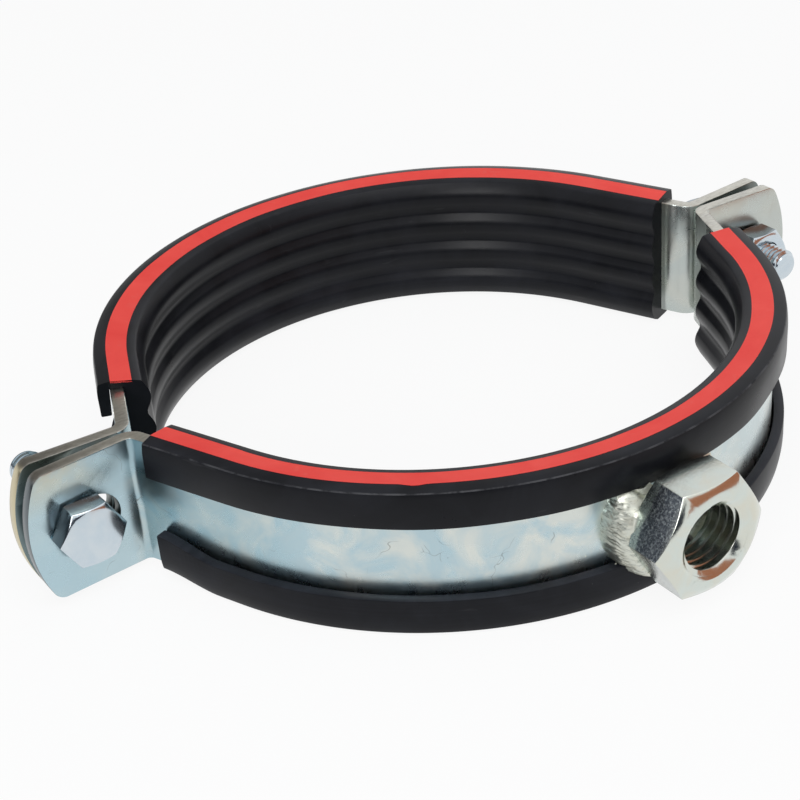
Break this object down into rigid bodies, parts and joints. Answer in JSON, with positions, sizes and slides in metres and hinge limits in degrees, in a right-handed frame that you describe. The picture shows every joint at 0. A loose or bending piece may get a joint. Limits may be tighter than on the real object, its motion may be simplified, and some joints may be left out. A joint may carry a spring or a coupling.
{
  "type": "rubber lined pipe clamp",
  "caption": "Split ring of strip steel with a rubber channel lining, slotted ears closed by hex bolts, and a welded hex connection nut for a threaded rod.",
  "frame": {"origin": "on the pipe's axis, half way up the band", "axes": "+Z along the pipe's axis, the ears along X, the connection nut towards -Y"},
  "size_m": [0.21, 0.1688, 0.034],
  "materials": {
    "zinc_strip": "satin zinc plating",
    "lining_rubber": "satin moulded rubber",
    "stripe_rubber": "matte rubber",
    "plated_nut": "bright zinc plating",
    "weld_metal": "rippled weld metal under zinc",
    "fastener_zinc": "bluish bright zinc plating"
  },
  "bodies": {
    "front_half": {"front_band": "zinc_strip", "front_lining": "lining_rubber", "front_stripe": "stripe_rubber", "connection_nut": "plated_nut", "left_weld": "weld_metal", "right_weld": "weld_metal", "right_nut": "fastener_zinc"},
    "back_half": {"back_band": "zinc_strip", "back_lining": "lining_rubber", "back_stripe": "stripe_rubber", "left_nut": "fastener_zinc"},
    "left_screw": {"left_bolt": "fastener_zinc"},
    "right_screw": {"right_bolt": "fastener_zinc"}
  },
  "joints": [
    {"name": "jaw_open", "type": "slide", "parent": "front_half", "child": "back_half", "axis": [0, 1, 0], "range_m": [0, 0.008]},
    {"name": "left_bolt_turn", "type": "hinge", "parent": "front_half", "child": "left_screw", "pos_m": [-0.09297, 0, 0], "axis": [0, -1, 0], "range_deg": [0, 2310]},
    {"name": "right_bolt_turn", "type": "hinge", "parent": "back_half", "child": "right_screw", "pos_m": [0.09297, 0, 0], "axis": [0, 1, 0], "range_deg": [0, 2310]}
  ],
  "couplings": [
    {"joint": "left_bolt_turn", "follows": "jaw_open", "rad_per_m": 5026.5},
    {"joint": "right_bolt_turn", "follows": "jaw_open", "rad_per_m": 5026.5}
  ]
}
